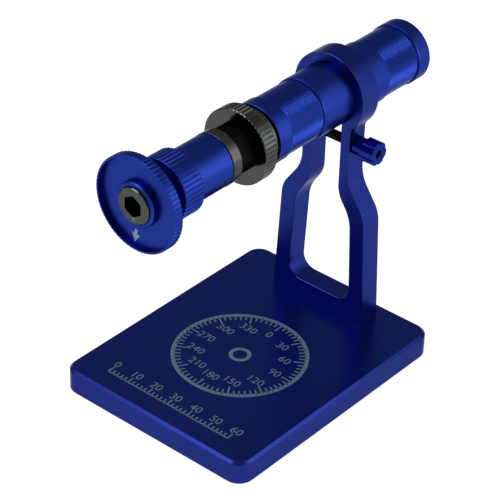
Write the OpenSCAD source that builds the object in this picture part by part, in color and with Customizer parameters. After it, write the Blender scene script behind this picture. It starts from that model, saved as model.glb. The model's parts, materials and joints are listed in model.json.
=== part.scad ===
// Wheel balancing stand: flat base, split clamp yoke, bearing barrel and a free-running wheel spindle.
// Millimetres, +Z up. Origin in the middle of the base underside, spindle along Y, dial towards -Y.

/* [Base plate] */
// Width across the spindle
base_w = 90; // [70:0.5:120]
// Length along the spindle
base_l = 115; // [90:0.5:150]
// Plate thickness
base_t = 10; // [6:0.25:16]
// Radius of the upright corners
base_corner_r = 6.5; // [2:0.25:12]
// Chamfer round the top edge
base_top_chamfer = 1.2; // [0.4:0.1:2.5]
// Chamfer round the underside edge
base_foot_chamfer = 0.4; // [0.2:0.1:1.5]

/* [Yoke] */
// Spindle axis above the base top
axis_rise = 96.5; // [80:0.25:120]
// Middle of the yoke behind the base centre
yoke_y = 45.8; // [30:0.1:50]
// Yoke plate thickness
yoke_t = 9.5; // [7:0.25:14]
// Clamp ring outside diameter
ring_d = 33.1; // [30:0.1:40]
// Fillet between the ring and each arm
ring_fillet = 4; // [2:0.25:6]
// Width of the clamp slot between the arms
slot_w = 14.1; // [11:0.1:17]
// Width of each arm
arm_w = 4.2; // [3.5:0.1:6]
// Outer shoulder corner above the base top
shoulder_rise = 60.9; // [55:0.1:66]
// Inner shoulder corner above the base top
throat_rise = 55.3; // [50:0.1:60]
// Outer knee corner above the base top
knee_rise = 47.9; // [42:0.1:52]
// Inner knee corner above the base top
window_rise = 45.7; // [40:0.1:50]
// Window floor above the base top
window_floor_rise = 7.25; // [5:0.25:12]
// Half spread of the legs at the knee
knee_x = 20.35; // [17:0.05:24]
// Half spread of the legs at the foot
foot_x = 22.7; // [20:0.1:28]
// Width of each leg
leg_w = 6.95; // [6:0.05:10]
// Radius of the shoulder bends
shoulder_r = 14; // [8:0.25:18]
// Radius of the knee bends
knee_r = 11.5; // [6:0.25:16]
// Radius of the window's lower corners
window_r = 6; // [3:0.25:8]

/* [Yoke screws] */
// Screw diameter
foot_screw_d = 4; // [3:0.5:5]
// Countersunk head diameter
foot_head_d = 8; // [6:0.25:9]
// Depth of thread in the leg
foot_screw_grip = 12; // [8:0.5:16]
// How far the head sits inside the underside
foot_head_sink = 0.4; // [0.2:0.1:1]
// Key socket across flats
foot_key_af = 2.5; // [2:0.5:3]

/* [Clamp screw and thumb nut] */
// Clamp screw axis below the spindle axis
clamp_drop = 20; // [18:0.25:24]
// Clamp screw diameter
clamp_d = 4; // [3:0.5:5]
// Clamp screw head diameter
clamp_head_d = 7; // [6:0.25:8]
// Clamp screw head height
clamp_head_l = 4; // [3:0.25:5]
// Clamp screw key socket across flats
clamp_key_af = 3; // [2:0.5:3]
// Thumb nut neck diameter
thumb_neck_d = 7.4; // [6:0.1:8.5]
// Thumb nut neck length
thumb_neck_l = 4.3; // [2:0.1:6]
// Thumb nut head diameter
thumb_head_d = 9.6; // [9:0.1:12]
// Thumb nut head length
thumb_head_l = 6.4; // [4:0.1:9]
// Number of finger scallops round the head
scallops = 6; // [5:1:8]
// Scallop radius
scallop_r = 1.2; // [1:0.1:2]
// Scallop depth
scallop_depth = 0.6; // [0.4:0.1:1]
// Wall left at the nut's end face
end_wall = 1.6; // [1.2:0.1:2.5]
// Hole through that wall
end_hole_d = 3.2; // [2:0.1:3.8]

/* [Barrel] */
// Barrel diameter
barrel_d = 25.2; // [22:0.1:28]
// Barrel length
barrel_l = 89.8; // [80:0.1:110]
// Barrel front face ahead of the yoke's middle
barrel_reach = 47.4; // [40:0.1:55]
// Length of each plain end band
band_l = 7; // [4:0.1:9]
// Length of each knurled band
knurl_l = 18.5; // [12:0.1:22]
// Depth of the knurled bands below the barrel
knurl_recess = 0.6; // [0.3:0.05:1]
// Chamfer at the barrel ends
barrel_chamfer = 0.4; // [0.2:0.1:1.5]
// Chamfer beside the knurled bands
band_chamfer = 0.25; // [0.1:0.05:0.5]

/* [Bearings] */
// Bearing bore
bearing_bore_d = 8; // [6:0.5:9]
// Bearing outside diameter
bearing_od = 16; // [15:0.5:18]
// Bearing width
bearing_w = 5; // [4:0.5:6]
// Ball diameter
ball_d = 2.4; // [2:0.1:2.6]
// Balls in each bearing
ball_count = 9; // [7:1:10]
// Thickness of each race at its land
race_t = 1.2; // [1:0.05:1.4]
// Radial thickness of the cage
cage_t = 1; // [0.6:0.05:1.2]
// Cage width
cage_w = 3; // [2.8:0.1:3.4]
// Shield thickness
shield_t = 0.25; // [0.2:0.05:0.4]
// Shield seat depth in the outer race
shield_seat = 0.3; // [0.2:0.05:0.5]
// Front bearing inside the barrel's front face
front_recess = 1.5; // [1:0.1:4]
// Rear bearing inside the barrel's rear face
rear_recess = 4.2; // [4:0.1:6]
// Shoulder left between bearing seats and the middle bore
seat_shoulder = 0.8; // [0.5:0.1:1]
// Wall of the spacer tube between the inner races
spacer_t = 1; // [0.8:0.05:1.2]

/* [Shaft and arbor] */
// Arbor diameter
arbor_d = 14.6; // [13:0.1:16]
// Chamfer at the arbor's nose
nose_chamfer = 0.8; // [0.3:0.1:1.2]
// Key socket in the nose, across flats
socket_af = 7; // [6:0.5:8]
// Key socket depth
socket_l = 9; // [6:0.5:12]
// Length of shaft seated in the arbor
shaft_grip = 26; // [18:0.5:32]
// Shaft end inside the rear inner race
shaft_short = 0.3; // [0.2:0.1:0.6]

/* [Drive hub] */
// Hex drive across flats
hex_af = 17; // [15:0.5:18]
// Hex drive length
hex_l = 7.35; // [5:0.05:10]
// Flange diameter
flange_d = 30.2; // [27:0.1:34]
// Flange thickness
flange_t = 6.15; // [4:0.05:8]
// Rear boss diameter
hub_boss_d = 23.6; // [20:0.1:25]
// Rear boss length
hub_boss_l = 4.4; // [3:0.1:7]
// Gap between the boss and the barrel
front_gap = 0.4; // [0.3:0.1:1]
// Chamfer on the flange rim
flange_chamfer = 0.5; // [0.2:0.1:1]

/* [Wheel nut] */
// Pressure ring diameter
press_d = 21.2; // [19:0.1:24]
// Pressure ring length
press_l = 5; // [3:0.25:8]
// Pressure ring spigot length inside the sleeve
spigot_l = 3; // [2:0.25:5]
// Wall of the spigot
spigot_t = 1.2; // [0.8:0.05:1.5]
// Plain sleeve diameter
sleeve_d = 20.9; // [19:0.1:24]
// Plain sleeve length
sleeve_l = 17.5; // [12:0.25:24]
// Fluted head diameter
head_d = 25.1; // [22:0.1:30]
// Fluted head length
head_l = 10.1; // [7:0.1:14]
// Chamfer on the fluted head
head_chamfer = 0.7; // [0.3:0.1:1.2]

/* [Dial] */
// Dial diameter
dial_d = 37.7; // [34:0.1:44]
// Rim thickness
dial_t = 3.75; // [3:0.05:6]
// Lip round the front face
lip_w = 1.3; // [0.6:0.05:1.8]
// Depth of the recessed face
dial_recess = 2.1; // [1.2:0.1:2.4]
// Front boss diameter
dial_boss_d = 17.8; // [17:0.1:22]
// Front boss rise above the rim
dial_boss_rise = 0.5; // [0.2:0.1:1.2]
// Arbor nose ahead of the boss
nose_proud = 0.9; // [0.2:0.1:1.2]
// Rear hub diameter
dial_hub_d = 18; // [17:0.1:20]
// Rear hub length
dial_hub_l = 8.7; // [6:0.1:11]
// Chamfer on the dial rim
dial_chamfer = 0.4; // [0.2:0.1:0.8]

/* [Rear retainer] */
// Retaining screw diameter
retain_d = 4; // [3:0.5:4]
// Retaining screw head diameter
retain_head_d = 7; // [6:0.25:7.5]
// Retaining screw head height
retain_head_l = 2.2; // [1.5:0.1:2.4]
// Retaining screw thread in the shaft
retain_grip = 11; // [8:0.5:16]
// Retaining screw key socket across flats
retain_key_af = 2.5; // [2:0.5:3]
// Washer diameter
washer_d = 10; // [9:0.1:10.4]
// Washer thickness
washer_t = 1; // [0.6:0.1:1.2]

/* [Grip flutes] */
// Spacing of the straight flutes round the grip rims
flute_pitch = 1.75; // [1.4:0.05:2.5]
// Flute depth
flute_depth = 0.2; // [0.1:0.05:0.6]
// Flute cutter radius
flute_r = 0.35; // [0.3:0.05:0.8]

/* [Fits] */
// Radial clearance of turning and sliding fits
run_gap = 0.05; // [0.02:0.01:0.1]
// Radial clearance of seated and screwed pieces
seat_gap = 0.02; // [0.01:0.01:0.05]
// Radial clearance of screw holes
bolt_gap = 0.1; // [0.05:0.05:0.3]
// Ball pocket clearance in the cage
pocket_gap = 0.1; // [0.05:0.01:0.15]

/* [Hidden] */
$fn = 96;
// Small overlap that keeps joined shapes in one solid
lap = 0.5;
// Extra length of a cutter past the face it opens
past = 1;
// Depth of a screw's key socket against its head height
key_share = 0.6;
// Slope angle of a countersunk head
sink_angle = 45;
axis_z = base_t + axis_rise;
barrel_r = barrel_d / 2;
knurl_r = barrel_r - knurl_recess;
ring_r = ring_d / 2;
slot_x = slot_w / 2;
arm_x = slot_x + arm_w;
shoulder_z = base_t + shoulder_rise;
throat_z = base_t + throat_rise;
knee_z = base_t + knee_rise;
window_z = base_t + window_rise;
floor_z = base_t + window_floor_rise;
leg_slope = (foot_x - knee_x) / knee_rise;
window_x = knee_x + leg_slope * (knee_z - window_z) - leg_w;
floor_x = knee_x + leg_slope * (knee_z - floor_z) - leg_w;
foot_screw_x = (foot_x + floor_x) / 2;
clamp_z = axis_z - clamp_drop;
clamp_r = clamp_d / 2;
thumb_end = arm_x + thumb_neck_l + thumb_head_l;
barrel_front = yoke_y - barrel_reach;
barrel_rear = barrel_front + barrel_l;
front_bearing = barrel_front + front_recess;
rear_bearing = barrel_rear - rear_recess - bearing_w;
shaft_r = bearing_bore_d / 2;
seat_r = bearing_od / 2;
middle_bore_r = seat_r - seat_shoulder;
inner_land_r = shaft_r + race_t;
outer_land_r = seat_r - race_t;
pitch_r = (shaft_r + seat_r) / 2;
ball_r = ball_d / 2;
boss_back = barrel_front - front_gap;
flange_back = boss_back - hub_boss_l;
flange_front = flange_back - flange_t;
hex_front = flange_front - hex_l;
press_front = hex_front - press_l;
sleeve_front = press_front - sleeve_l;
head_front = sleeve_front - head_l;
dial_back = head_front - dial_hub_l;
dial_front = dial_back - dial_t;
dial_face = dial_front + dial_recess;
dial_boss_front = dial_front - dial_boss_rise;
nose_y = dial_boss_front - nose_proud;
arbor_r = arbor_d / 2;
slide_r = arbor_r + run_gap;
shaft_front = hex_front - shaft_grip;
shaft_back = rear_bearing + bearing_w - shaft_short;
washer_back = rear_bearing + bearing_w + washer_t;

blue = [0.10, 0.15, 0.55];
gunmetal = [0.26, 0.26, 0.26];
black_steel = [0.07, 0.07, 0.08];
bright_steel = [0.72, 0.73, 0.75];
brass = [0.72, 0.58, 0.28];

function unit(v) = v / norm(v);
function mirrored(points) = [for (i = [len(points) - 1 : -1 : 0]) [-points[i][0], points[i][1]]];
function hex_r(flats) = flats / 2 / cos(30);

// Puts a shape drawn round Z at height y onto the spindle axis at the same Y
module along_spindle() {
  translate([0, 0, axis_z]) rotate([-90, 0, 0]) children();
}

// Puts a shape drawn round Z at height x onto the clamp screw axis at the same X
module along_clamp() {
  translate([0, yoke_y, clamp_z]) rotate([0, 90, 0]) children();
}

// Solid of revolution about the spindle, from radius and Y pairs
module turned(points) {
  along_spindle() rotate_extrude() polygon(points);
}

module both_sides() {
  children();
  mirror([1, 0, 0]) children();
}

// Plain tube about the spindle between two stations
module sleeve(inner_r, outer_r, from, to) {
  turned([[inner_r, from], [outer_r, from], [outer_r, to], [inner_r, to]]);
}

// Grip rim with straight flutes and chamfered edges
module fluted_rim(rim_r, from, to, chamfer) {
  flutes = round(2 * PI * rim_r / flute_pitch);
  along_spindle() intersection() {
    translate([0, 0, from]) linear_extrude(to - from) difference() {
      circle(rim_r);
      for (i = [0 : flutes - 1])
        rotate(i * 360 / flutes) translate([rim_r + flute_r - flute_depth, 0]) circle(flute_r);
    }
    rotate_extrude() polygon([
      [0, from], [rim_r - chamfer, from], [rim_r, from + chamfer],
      [rim_r, to - chamfer], [rim_r - chamfer, to], [0, to]
    ]);
  }
}

// The sliver between a sharp corner b and an arc of radius r that runs into both its sides
module corner_web(a, b, c, r) {
  u = unit(a - b);
  v = unit(c - b);
  m = unit(u + v);
  half = acos(u * v) / 2;
  reach = r / tan(half);
  difference() {
    polygon([b + reach * u, b - lap * m, b + reach * v]);
    translate(b + m * r / sin(half)) circle(r);
  }
}

// The sliver between the clamp ring, an arm and the fillet that joins them
module ring_web() {
  centre_x = arm_x + ring_fillet;
  reach = ring_r + ring_fillet;
  centre_z = axis_z - sqrt(reach * reach - centre_x * centre_x);
  touch = [centre_x, centre_z - axis_z] * ring_r / reach + [0, axis_z];
  difference() {
    polygon([
      [arm_x, centre_z], [centre_x, centre_z], touch,
      [arm_x - lap, touch[1]], [arm_x - lap, centre_z]
    ]);
    translate([centre_x, centre_z]) circle(ring_fillet);
  }
}

// A flat shape drawn in X and Z, made as thick as the yoke plate and grown past both faces
module yoke_sheet(grow) {
  translate([0, yoke_y + yoke_t / 2 + grow, 0]) rotate([90, 0, 0])
    linear_extrude(yoke_t + 2 * grow) children();
}

module base_plate() {
  corner_x = base_w / 2 - base_corner_r;
  corner_y = base_l / 2 - base_corner_r;
  color(blue) difference() {
    union() {
      translate([0, corner_y, 0]) rotate([90, 0, 0])
        linear_extrude(2 * corner_y) plate_profile(base_w / 2);
      rotate([90, 0, 90]) translate([0, 0, -corner_x])
        linear_extrude(2 * corner_x) plate_profile(base_l / 2);
      for (x = [-corner_x, corner_x], y = [-corner_y, corner_y])
        translate([x, y, 0]) rotate_extrude() intersection() {
          plate_profile(base_corner_r);
          square(base_corner_r + base_t);
        }
    }
    both_sides() translate([foot_screw_x, yoke_y, 0]) {
      translate([0, 0, -past]) cylinder(r = foot_screw_d / 2 + bolt_gap, h = base_t + 2 * past);
      foot_sink(bolt_gap);
    }
  }
}

// Section of the base plate, with its top and underside chamfers
module plate_profile(half) {
  polygon([
    [-half + base_foot_chamfer, 0], [half - base_foot_chamfer, 0], [half, base_foot_chamfer],
    [half, base_t - base_top_chamfer], [half - base_top_chamfer, base_t],
    [-half + base_top_chamfer, base_t], [-half, base_t - base_top_chamfer], [-half, base_foot_chamfer]
  ]);
}

// Countersink under the base plate, open downwards
module foot_sink(gap) {
  head_r = foot_head_d / 2 + gap;
  translate([0, 0, -past]) cylinder(r = head_r, h = past + foot_head_sink);
  translate([0, 0, foot_head_sink]) cylinder(r1 = head_r, r2 = 0, h = head_r * tan(sink_angle));
}

module yoke() {
  outer = [[arm_x, axis_z], [arm_x, shoulder_z], [knee_x, knee_z], [foot_x, base_t]];
  inner = [[slot_x, axis_z], [slot_x, throat_z], [window_x, window_z], [floor_x, floor_z]];
  color(blue) difference() {
    union() {
      yoke_sheet(0) translate([0, axis_z]) circle(ring_r);
      yoke_sheet(0) polygon(concat(outer, mirrored(outer)));
      both_sides() yoke_sheet(0) ring_web();
      both_sides() yoke_sheet(0) corner_web(outer[0], outer[1], outer[2], shoulder_r);
    }
    yoke_sheet(past) difference() {
      polygon(concat(inner, mirrored(inner)));
      both_sides() corner_web(inner[1], inner[2], inner[3], shoulder_r);
      both_sides() corner_web(inner[2], inner[3], [0, floor_z], window_r);
    }
    yoke_sheet(past) translate([0, axis_z]) circle(barrel_r + run_gap);
    both_sides() yoke_sheet(past) corner_web(outer[1], outer[2], outer[3], knee_r);
    both_sides() yoke_sheet(past) corner_web(inner[0], inner[1], inner[2], knee_r);
    along_clamp() translate([0, 0, -foot_x]) cylinder(r = clamp_r + bolt_gap, h = 2 * foot_x);
    both_sides() translate([foot_screw_x, yoke_y, base_t - past])
      cylinder(r = foot_screw_d / 2 + seat_gap, h = past + foot_screw_grip);
  }
}

module yoke_screws() {
  head_r = foot_head_d / 2;
  shank_r = foot_screw_d / 2;
  cone_h = (head_r - shank_r) * tan(sink_angle);
  end_z = base_t + foot_screw_grip - lap;
  color(black_steel) both_sides() translate([foot_screw_x, yoke_y, foot_head_sink]) difference() {
    union() {
      cylinder(r1 = head_r, r2 = shank_r, h = cone_h);
      cylinder(r = shank_r, h = end_z - foot_head_sink);
    }
    translate([0, 0, -past]) cylinder(r = hex_r(foot_key_af), h = past + cone_h, $fn = 6);
  }
}

module clamp_screw() {
  head_r = clamp_head_d / 2;
  key_l = clamp_head_l * key_share;
  color(black_steel) along_clamp() difference() {
    union() {
      translate([0, 0, -arm_x - clamp_head_l]) cylinder(r = head_r, h = clamp_head_l);
      translate([0, 0, -arm_x]) cylinder(r = clamp_r, h = arm_x + thumb_end - end_wall - lap);
    }
    translate([0, 0, -arm_x - clamp_head_l - past])
      cylinder(r = hex_r(clamp_key_af), h = past + key_l, $fn = 6);
  }
}

module thumb_nut() {
  head_r = thumb_head_d / 2;
  head_x = arm_x + thumb_neck_l;
  edge = scallop_depth / 2;
  color(blue) along_clamp() difference() {
    union() {
      translate([0, 0, arm_x]) cylinder(d = thumb_neck_d, h = thumb_neck_l + lap);
      intersection() {
        translate([0, 0, head_x]) linear_extrude(thumb_head_l) difference() {
          circle(head_r);
          for (i = [0 : scallops - 1])
            rotate((i + 0.5) * 360 / scallops)
              translate([head_r + scallop_r - scallop_depth, 0]) circle(scallop_r);
        }
        rotate_extrude() polygon([
          [0, head_x], [head_r - edge, head_x], [head_r, head_x + edge],
          [head_r, thumb_end - edge], [head_r - edge, thumb_end], [0, thumb_end]
        ]);
      }
    }
    translate([0, 0, arm_x - past])
      cylinder(r = clamp_r + run_gap, h = thumb_neck_l + thumb_head_l - end_wall + past);
    translate([0, 0, thumb_end - end_wall - past]) cylinder(d = end_hole_d, h = end_wall + 2 * past);
  }
}

module barrel() {
  mid_front = barrel_front + band_l + knurl_l;
  mid_back = barrel_rear - band_l - knurl_l;
  edge_r = barrel_r - band_chamfer;
  end_r = barrel_r - barrel_chamfer;
  color(blue) difference() {
    turned([
      [0, barrel_front], [end_r, barrel_front], [barrel_r, barrel_front + barrel_chamfer],
      [barrel_r, barrel_front + band_l - band_chamfer], [edge_r, barrel_front + band_l],
      [knurl_r, barrel_front + band_l], [knurl_r, mid_front],
      [edge_r, mid_front], [barrel_r, mid_front + band_chamfer],
      [barrel_r, mid_back - band_chamfer], [edge_r, mid_back],
      [knurl_r, mid_back], [knurl_r, barrel_rear - band_l],
      [edge_r, barrel_rear - band_l], [barrel_r, barrel_rear - band_l + band_chamfer],
      [barrel_r, barrel_rear - barrel_chamfer], [end_r, barrel_rear], [0, barrel_rear]
    ]);
    turned([
      [0, barrel_front - past], [seat_r + seat_gap, barrel_front - past],
      [seat_r + seat_gap, front_bearing + bearing_w], [middle_bore_r, front_bearing + bearing_w],
      [middle_bore_r, rear_bearing], [seat_r + seat_gap, rear_bearing],
      [seat_r + seat_gap, barrel_rear + past], [0, barrel_rear + past]
    ]);
  }
}

// Ring-shaped groove that the balls run in
module raceway(from) {
  along_spindle() translate([0, 0, from + bearing_w / 2])
    rotate_extrude() translate([pitch_r, 0]) circle(ball_r + run_gap);
}

module outer_race(from) {
  rim_r = outer_land_r + shield_t;
  color(bright_steel) difference() {
    sleeve(outer_land_r, seat_r, from, from + bearing_w);
    raceway(from);
    sleeve(0, rim_r, from - past, from + shield_seat);
    sleeve(0, rim_r, from + bearing_w - shield_seat, from + bearing_w + past);
  }
}

module inner_race(from) {
  color(bright_steel) difference() {
    sleeve(shaft_r + seat_gap, inner_land_r, from, from + bearing_w);
    raceway(from);
  }
}

// One copy of a shape drawn at the pitch radius for every ball
module each_ball(from) {
  along_spindle() translate([0, 0, from + bearing_w / 2])
    for (i = [0 : ball_count - 1]) rotate(i * 360 / ball_count) translate([pitch_r, 0, 0]) children();
}

module balls(from) {
  color(bright_steel) each_ball(from) sphere(ball_r);
}

module cage(from) {
  middle = from + bearing_w / 2;
  color(brass) difference() {
    sleeve(pitch_r - cage_t / 2, pitch_r + cage_t / 2, middle - cage_w / 2, middle + cage_w / 2);
    each_ball(from) rotate([0, 90, 0]) cylinder(r = ball_r + pocket_gap, h = 2 * cage_t, center = true);
  }
}

module shields(from) {
  rim_r = outer_land_r + shield_t - seat_gap;
  eye_r = inner_land_r + pocket_gap;
  front = from + shield_seat;
  back = from + bearing_w - shield_seat;
  color(bright_steel) {
    sleeve(eye_r, rim_r, front - shield_t, front);
    sleeve(eye_r, rim_r, back, back + shield_t);
  }
}

module front_outer_race() {
  outer_race(front_bearing);
}

module front_balls() {
  balls(front_bearing);
}

module front_cage() {
  cage(front_bearing);
}

module front_inner_race() {
  inner_race(front_bearing);
}

module front_shields() {
  shields(front_bearing);
}

module rear_outer_race() {
  outer_race(rear_bearing);
}

module rear_balls() {
  balls(rear_bearing);
}

module rear_cage() {
  cage(rear_bearing);
}

module rear_inner_race() {
  inner_race(rear_bearing);
}

module rear_shields() {
  shields(rear_bearing);
}

module bearing_spacer() {
  color(bright_steel)
    sleeve(shaft_r + seat_gap, shaft_r + spacer_t, front_bearing + bearing_w, rear_bearing);
}

module spindle_shaft() {
  color(bright_steel) difference() {
    turned([
      [0, shaft_front], [shaft_r - lap, shaft_front], [shaft_r, shaft_front + lap],
      [shaft_r, shaft_back], [0, shaft_back]
    ]);
    sleeve(0, retain_d / 2 + seat_gap, shaft_back - retain_grip, shaft_back + past);
  }
}

module wheel_arbor() {
  color(gunmetal) difference() {
    turned([
      [0, nose_y], [arbor_r - nose_chamfer, nose_y], [arbor_r, nose_y + nose_chamfer],
      [arbor_r, hex_front], [0, hex_front]
    ]);
    sleeve(0, shaft_r + seat_gap, shaft_front, hex_front + past);
    along_spindle() translate([0, 0, nose_y - past])
      rotate(30) cylinder(r = hex_r(socket_af), h = past + socket_l, $fn = 6);
  }
}

module drive_hub() {
  spigot_r = inner_land_r - seat_gap;
  color(gunmetal) difference() {
    union() {
      fluted_rim(flange_d / 2, flange_front, flange_back, flange_chamfer);
      along_spindle() translate([0, 0, hex_front])
        cylinder(r = hex_r(hex_af), h = hex_l + lap, $fn = 6);
      sleeve(0, hub_boss_d / 2, flange_back - lap, boss_back);
      sleeve(0, spigot_r, boss_back - lap, front_bearing);
    }
    sleeve(0, shaft_r + seat_gap, hex_front - past, front_bearing + past);
  }
}

module pressure_ring() {
  spigot_r = slide_r + spigot_t;
  edge = spigot_t / 2;
  color(gunmetal) turned([
    [slide_r, press_front - spigot_l], [spigot_r, press_front - spigot_l], [spigot_r, press_front],
    [press_d / 2, press_front], [press_d / 2, hex_front - edge], [press_d / 2 - edge, hex_front],
    [slide_r, hex_front]
  ]);
}

module sleeve_nut() {
  spigot_r = slide_r + spigot_t + seat_gap;
  color(blue) difference() {
    union() {
      fluted_rim(head_d / 2, head_front, sleeve_front, head_chamfer);
      sleeve(0, sleeve_d / 2, sleeve_front - lap, press_front);
    }
    sleeve(0, slide_r, head_front - past, press_front + past);
    sleeve(0, spigot_r, press_front - spigot_l - seat_gap, press_front + past);
  }
}

module dial() {
  rim_r = dial_d / 2;
  boss_r = dial_boss_d / 2;
  color(blue) difference() {
    union() {
      difference() {
        fluted_rim(rim_r, dial_front, dial_back, dial_chamfer);
        sleeve(0, rim_r - lip_w, dial_front - past, dial_face);
      }
      sleeve(0, boss_r, dial_boss_front, dial_face + lap);
      sleeve(0, dial_hub_d / 2, dial_back - lap, head_front);
    }
    sleeve(0, slide_r, dial_boss_front - past, head_front + past);
  }
}

module retaining_washer() {
  color(bright_steel) sleeve(retain_d / 2 + bolt_gap, washer_d / 2, washer_back - washer_t, washer_back);
}

module retaining_screw() {
  key_l = retain_head_l * key_share;
  end_y = washer_back + retain_head_l;
  color(black_steel) difference() {
    union() {
      sleeve(0, retain_d / 2, shaft_back - retain_grip + lap, washer_back + lap);
      sleeve(0, retain_head_d / 2, washer_back, end_y);
    }
    along_spindle() translate([0, 0, end_y - key_l])
      cylinder(r = hex_r(retain_key_af), h = key_l + past, $fn = 6);
  }
}

base_plate();
yoke();
yoke_screws();
clamp_screw();
thumb_nut();
barrel();
front_outer_race();
front_balls();
front_cage();
front_inner_race();
front_shields();
rear_outer_race();
rear_balls();
rear_cage();
rear_inner_race();
rear_shields();
bearing_spacer();
spindle_shaft();
wheel_arbor();
drive_hub();
pressure_ring();
sleeve_nut();
dial();
retaining_washer();
retaining_screw();
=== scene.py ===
import json
from math import cos, pi, radians, sin, tan, tau

import bmesh
import bpy
from mathutils import Matrix, Vector


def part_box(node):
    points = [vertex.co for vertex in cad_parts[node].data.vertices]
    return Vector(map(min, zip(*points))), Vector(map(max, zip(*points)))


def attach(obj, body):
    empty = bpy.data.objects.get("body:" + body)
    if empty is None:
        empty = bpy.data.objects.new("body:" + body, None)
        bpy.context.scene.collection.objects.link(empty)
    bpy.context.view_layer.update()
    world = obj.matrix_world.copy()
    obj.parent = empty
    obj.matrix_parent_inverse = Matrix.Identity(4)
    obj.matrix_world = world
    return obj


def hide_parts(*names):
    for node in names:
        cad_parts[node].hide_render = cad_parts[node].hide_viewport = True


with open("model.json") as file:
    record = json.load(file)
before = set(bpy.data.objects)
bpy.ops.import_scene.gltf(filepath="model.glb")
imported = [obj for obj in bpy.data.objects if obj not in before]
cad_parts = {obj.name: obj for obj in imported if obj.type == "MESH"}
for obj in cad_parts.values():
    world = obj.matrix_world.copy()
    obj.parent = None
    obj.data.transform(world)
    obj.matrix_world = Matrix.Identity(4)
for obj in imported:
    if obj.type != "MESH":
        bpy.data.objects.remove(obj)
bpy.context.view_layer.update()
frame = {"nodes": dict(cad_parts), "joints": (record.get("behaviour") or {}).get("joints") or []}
mm = 0.001  # pieces are modelled in millimetres and scaled to metres when they are finished
scene = bpy.context.scene
joints = {joint["name"]: joint for joint in frame["joints"]}
axisZ = joints["spindle_spin"]["pos_m"][2] / mm
clampY, clampZ = (value / mm for value in joints["thumb_nut_turn"]["pos_m"][1:])
onSpindle = Matrix.Translation((0, 0, axisZ))
onClamp = Matrix.Translation((0, clampY, clampZ)) @ Matrix.Rotation(radians(-90), 4, "Z")


def nodeBox(node):
    low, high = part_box(node)
    return low / mm, high / mm


print("frame loaded, spindle axis at", round(axisZ, 2), "mm")


def toLinear(hexColour):
    channels = [int(hexColour[i:i + 2], 16) / 255 for i in (1, 3, 5)]
    return [c / 12.92 if c <= 0.04045 else ((c + 0.055) / 1.055) ** 2.4 for c in channels] + [1]


def addNode(tree, kind, settings={}, links={}):
    node = tree.nodes.new(kind)
    for name, value in settings.items():
        if isinstance(name, str) and hasattr(node, name):
            setattr(node, name, value)
        else:
            node.inputs[name].default_value = value
    for name, source in links.items():
        tree.links.new(source, node.inputs[name])
    return node


def newMaterial(name):
    material = bpy.data.materials.new(name)
    material.use_nodes = True
    material.node_tree.nodes.clear()
    return material, material.node_tree


# Surface from two noises: a fine one makes the tool marks, a broad one makes the dye and sheen uneven
def dressMetal(tree, fine, broad, look):
    tint = addNode(tree, "ShaderNodeMix",
                   {"data_type": "RGBA", 6: toLinear(look["deep"]), 7: toLinear(look["tint"])},
                   {"Factor": broad})
    lift = addNode(tree, "ShaderNodeMath",
                   {"operation": "MULTIPLY_ADD", 1: look["unevenness"], 2: look["roughness"]},
                   {0: broad})
    rough = addNode(tree, "ShaderNodeMath", {"operation": "MULTIPLY_ADD", 1: look["lineRoughness"]},
                    {0: fine, 2: lift.outputs[0]})
    bump = addNode(tree, "ShaderNodeBump", {"Strength": look["bump"], "Distance": look["lineDepth"] * mm},
                   {"Height": fine})
    shader = addNode(tree, "ShaderNodeBsdfPrincipled",
                     {"Metallic": look["metallic"], "Specular Tint": toLinear(look["edge"])},
                     {"Base Color": tint.outputs[2], "Roughness": rough.outputs[0],
                      "Normal": bump.outputs[0]})
    addNode(tree, "ShaderNodeOutputMaterial", {}, {"Surface": shader.outputs[0]})


# Turned metal: the lathe leaves rings that run round the axis, along the length and across the faces
def turnedMetal(name, look, place):
    material, tree = newMaterial(name)
    coords = addNode(tree, "ShaderNodeTexCoord")
    home = place.inverted()
    centred = addNode(tree, "ShaderNodeMapping",
                      {"Location": home.translation * mm, "Rotation": home.to_euler()},
                      {"Vector": coords.outputs["Object"]})
    parts = addNode(tree, "ShaderNodeSeparateXYZ", {}, {0: centred.outputs[0]})
    across = addNode(tree, "ShaderNodeCombineXYZ", {}, {"X": parts.outputs["X"], "Z": parts.outputs["Z"]})
    radius = addNode(tree, "ShaderNodeVectorMath", {"operation": "LENGTH"}, {0: across.outputs[0]})
    run = addNode(tree, "ShaderNodeMath", {"operation": "ADD"},
                  {0: radius.outputs["Value"], 1: parts.outputs["Y"]})
    rings = addNode(tree, "ShaderNodeTexNoise",
                    {"noise_dimensions": "1D", "Scale": 1 / (look["lineSpacing"] * mm), "Detail": 2},
                    {"W": run.outputs[0]})
    cloud = addNode(tree, "ShaderNodeTexNoise", {"Scale": 1 / (look["cloudSize"] * mm), "Detail": 3},
                    {"Vector": coords.outputs["Object"]})
    dressMetal(tree, rings.outputs[0], cloud.outputs[0], look)
    return material


# Blasted metal: an even fine grain with no direction
def blastedMetal(name, look):
    material, tree = newMaterial(name)
    coords = addNode(tree, "ShaderNodeTexCoord")
    grain = addNode(tree, "ShaderNodeTexNoise", {"Scale": 1 / (look["lineSpacing"] * mm), "Detail": 2},
                    {"Vector": coords.outputs["Object"]})
    cloud = addNode(tree, "ShaderNodeTexNoise", {"Scale": 1 / (look["cloudSize"] * mm), "Detail": 3},
                    {"Vector": coords.outputs["Object"]})
    dressMetal(tree, grain.outputs[0], cloud.outputs[0], look)
    return material


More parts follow.
